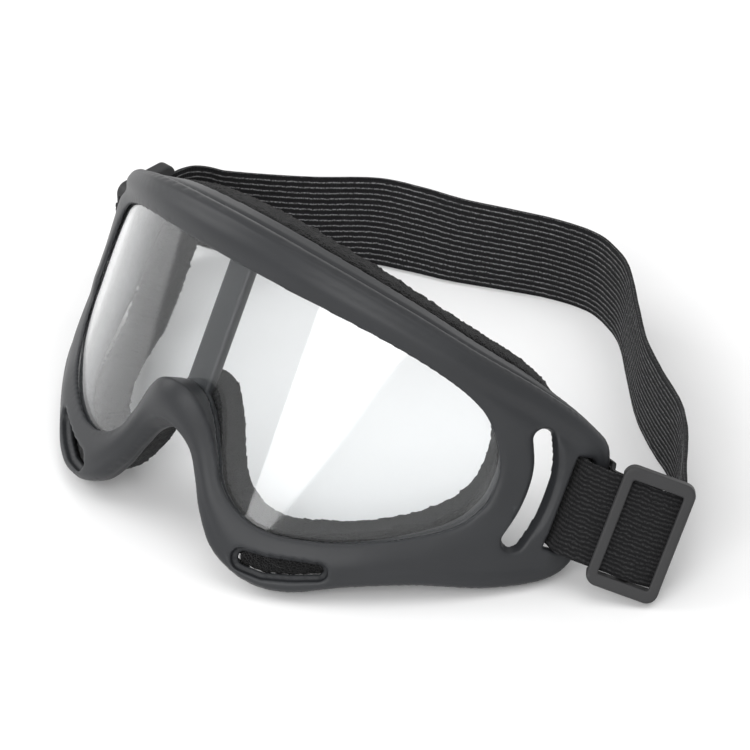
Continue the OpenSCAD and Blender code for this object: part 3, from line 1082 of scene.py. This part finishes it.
class GOGGLES_OT_strap(bpy.types.Operator):
    """Elastic band from the left slider round to the right one"""

    bl_idname = "goggles.strap"
    bl_label = "Strap"

    def execute(self, context):
        own = settings().strap
        fine, _ = even(spline(BAND, 30), 0.25)
        line, along = even(fine, 0.82)
        lean = np.radians(line[:, 3])
        up = np.stack([0 * lean, np.sin(lean), np.cos(lean)], -1)
        total = along[-1]
        hump = lambda at: 0.75 * np.exp(-(((along - at) / 3.4) ** 2))
        dip = lambda at: -0.12 * np.exp(-(((along - at) / 2.0) ** 2))
        profile = hump(8.0) + hump(total - 11.4) + dip(total - 3.4) + dip(total - 19.4)
        line = line[:, :3] - np.array([SHIFT_X, SHIFT_Y, 0])
        band = webbing("strap_band_webbing", line, up, along, profile)
        finish = webbing_finish("elastic_webbing", own.inner_ribs, own.outer_ribs)
        band.data.materials.append(finish)
        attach(band, "strap")
        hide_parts("strap_band")
        return {"FINISHED"}


def plan(s, n):
    return wrapped(np.array([float(s)]), np.array([0.0]), n)[0, :2]


def beside(along, inward):
    """A point in plan by the left slider, along its webbing and inward from it."""
    x = LEFT_C[0] + along * LEFT_COS - inward * LEFT_SIN
    return x, LEFT_C[1] + along * LEFT_SIN + inward * LEFT_COS


class GOGGLES_OT_loops(bpy.types.Operator):
    """Short webbing loops round the rear bars of the strap slots"""

    bl_idname = "goggles.loops"
    bl_label = "Strap loops"

    def execute(self, context):
        own = settings().strap
        left = [beside(-4.2, 1.45), beside(-10, 1.7), (89.3, 57.9)]
        left += [plan(113.6, -3), plan(113, -6), plan(104.4, -6)]
        left += [plan(103.4, -4.6), plan(103.6, 0.8), (85.6, 53.2)]
        left += [beside(-12.6, 0), beside(-8, 0)]
        right = [plan(113.8, -2.4), plan(113.4, -4.2), plan(112.2, -6), plan(104.4, -6)]
        right += [plan(103.4, -4.6), plan(103.6, 0.8), plan(105, 1.9), plan(108, 1.6)]
        finish = webbing_finish("elastic_loop", own.inner_ribs, own.outer_ribs)
        for name, path, flip in (("left", left, 1), ("right", right, -1)):
            path = np.array([(x * flip, y, 3.4) for x, y in path])
            path, _ = even(rounded_corners(path, 0.9), 0.1)
            line, along = even(path, 0.42)
            line = stood(line) / MM
            up = np.tile([0, math.sin(LEAN), math.cos(LEAN)], (len(line), 1))
            loop = webbing(f"strap_loop_webbing_{name}", line, up, along, None, flip)
            loop.data.materials.append(finish)
            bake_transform(loop)
            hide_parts(f"strap_loop_{name}")
        return {"FINISHED"}


def rounded_corners(path, radius):
    """Rounds the corners of a path, each over about a radius to either side."""
    out = [path[0]]
    for a, b, c in zip(path[:-2], path[1:-1], path[2:]):
        back, on = a - b, c - b
        lb, lo = np.linalg.norm(back), np.linalg.norm(on)
        p = b + back / lb * min(radius, lb * 0.45)
        q = b + on / lo * min(radius, lo * 0.45)
        for t in np.linspace(0, 1, 7):
            out.append((1 - t) ** 2 * p + 2 * t * (1 - t) * b + t * t * q)
    return np.array(out + [path[-1]])


# ---------------------------------------------------------------- sliders


SLIDER_GAP = 0.6


def slider_solid(x, y, z, own, thick):
    width, size, bar = own.width / MM, own.size / MM, own.bar / MM
    front = thick / 2 + SLIDER_GAP + 1.2
    qx, qy = np.abs(x) - width / 2 + 3, np.abs(y) - size / 2 + 3
    outline = np.hypot(np.maximum(qx, 0), np.maximum(qy, 0))
    outline = outline + np.minimum(np.maximum(qx, qy), 0) - 3
    window = size / 2 - bar - 0.5
    plate = meet(outline, np.abs(z - (front - 1.5) / 2) - (front + 1.5) / 2, 0.7)
    hole = meet(np.abs(x) - (width / 2 - bar), np.abs(y) - window, 0.6)
    plate = meet(plate, -hole, 0.5)
    channel = all_of(np.abs(y) - window, z - thick / 2 - SLIDER_GAP)
    plate = meet(plate, -channel, 0.3)
    rod = meet(np.abs(x) - bar / 2, np.abs(z + front - 0.6) - 0.6, 0.5)
    rod = all_of(rod, np.abs(y) - window - bar / 2)
    return join(plate, rod, 0.3)


class GOGGLES_OT_sliders(bpy.types.Operator):
    """Two flat buckles that the webbing passes through"""

    bl_idname = "goggles.sliders"
    bl_label = "Sliders"

    def execute(self, context):
        own, thick = settings().slider, settings().strap.thick / MM
        gap = (0.32, 0.32, 0.26)
        reach = np.array([own.width / MM / 2, own.size / MM / 2, 2.6]) + 0.7
        x, y, z = grid(-reach, reach, gap)
        points, faces = skin(slider_solid(x, y, z, own, thick), -reach, gap)
        turn = Matrix.Rotation(LEFT_HEAD, 3, "Z") @ Matrix.Rotation(math.pi / 2, 3, "X")
        left = stood(points @ np.array(turn).T + np.array(LEFT_C))
        turn = Matrix.Rotation(-math.pi / 2, 3, "Z") @ Matrix.Rotation(math.pi / 2, 3, "X")
        right = (points @ np.array(turn).T + RIGHT_AT - np.array([SHIFT_X, SHIFT_Y, 0])) * MM
        finish = slider_finish()
        for name, place in (("left", left), ("right", right)):
            piece = add_mesh(f"slider_buckle_{name}", place, faces)
            piece.data.materials.append(finish)
            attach(piece, f"slider_{name}")
            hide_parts(f"slider_{name}")
        return {"FINISHED"}


# ---------------------------------------------------------------- panel and run

STEPS = [
    GOGGLES_OT_stage,
    GOGGLES_OT_frame,
    GOGGLES_OT_lens,
    GOGGLES_OT_face_foam,
    GOGGLES_OT_vent_foam,
    GOGGLES_OT_strap,
    GOGGLES_OT_loops,
    GOGGLES_OT_sliders,
]


class GOGGLES_PT_build(bpy.types.Panel):
    """Lists the steps that build the goggles"""

    bl_idname = "GOGGLES_PT_build"
    bl_label = "Goggles"
    bl_space_type = "VIEW_3D"
    bl_region_type = "UI"
    bl_category = "Goggles"

    def draw(self, context):
        for kind in STEPS:
            self.layout.operator(kind.bl_idname)


CLASSES = [
    FrameSettings,
    LensSettings,
    FoamSettings,
    StrapSettings,
    SliderSettings,
    GoggleSettings,
    *STEPS,
    GOGGLES_PT_build,
]


def register():
    for kind in CLASSES:
        bpy.utils.register_class(kind)
    bpy.types.Scene.goggles = PointerProperty(type=GoggleSettings)


def unregister():
    del bpy.types.Scene.goggles
    for kind in reversed(CLASSES):
        bpy.utils.unregister_class(kind)


def main():
    register()
    bpy.ops.goggles.stage()
    bpy.ops.goggles.frame()
    bpy.ops.goggles.lens()
    bpy.ops.goggles.face_foam()
    bpy.ops.goggles.vent_foam()
    bpy.ops.goggles.strap()
    bpy.ops.goggles.loops()
    bpy.ops.goggles.sliders()


if __name__ == "__main__":
    main()
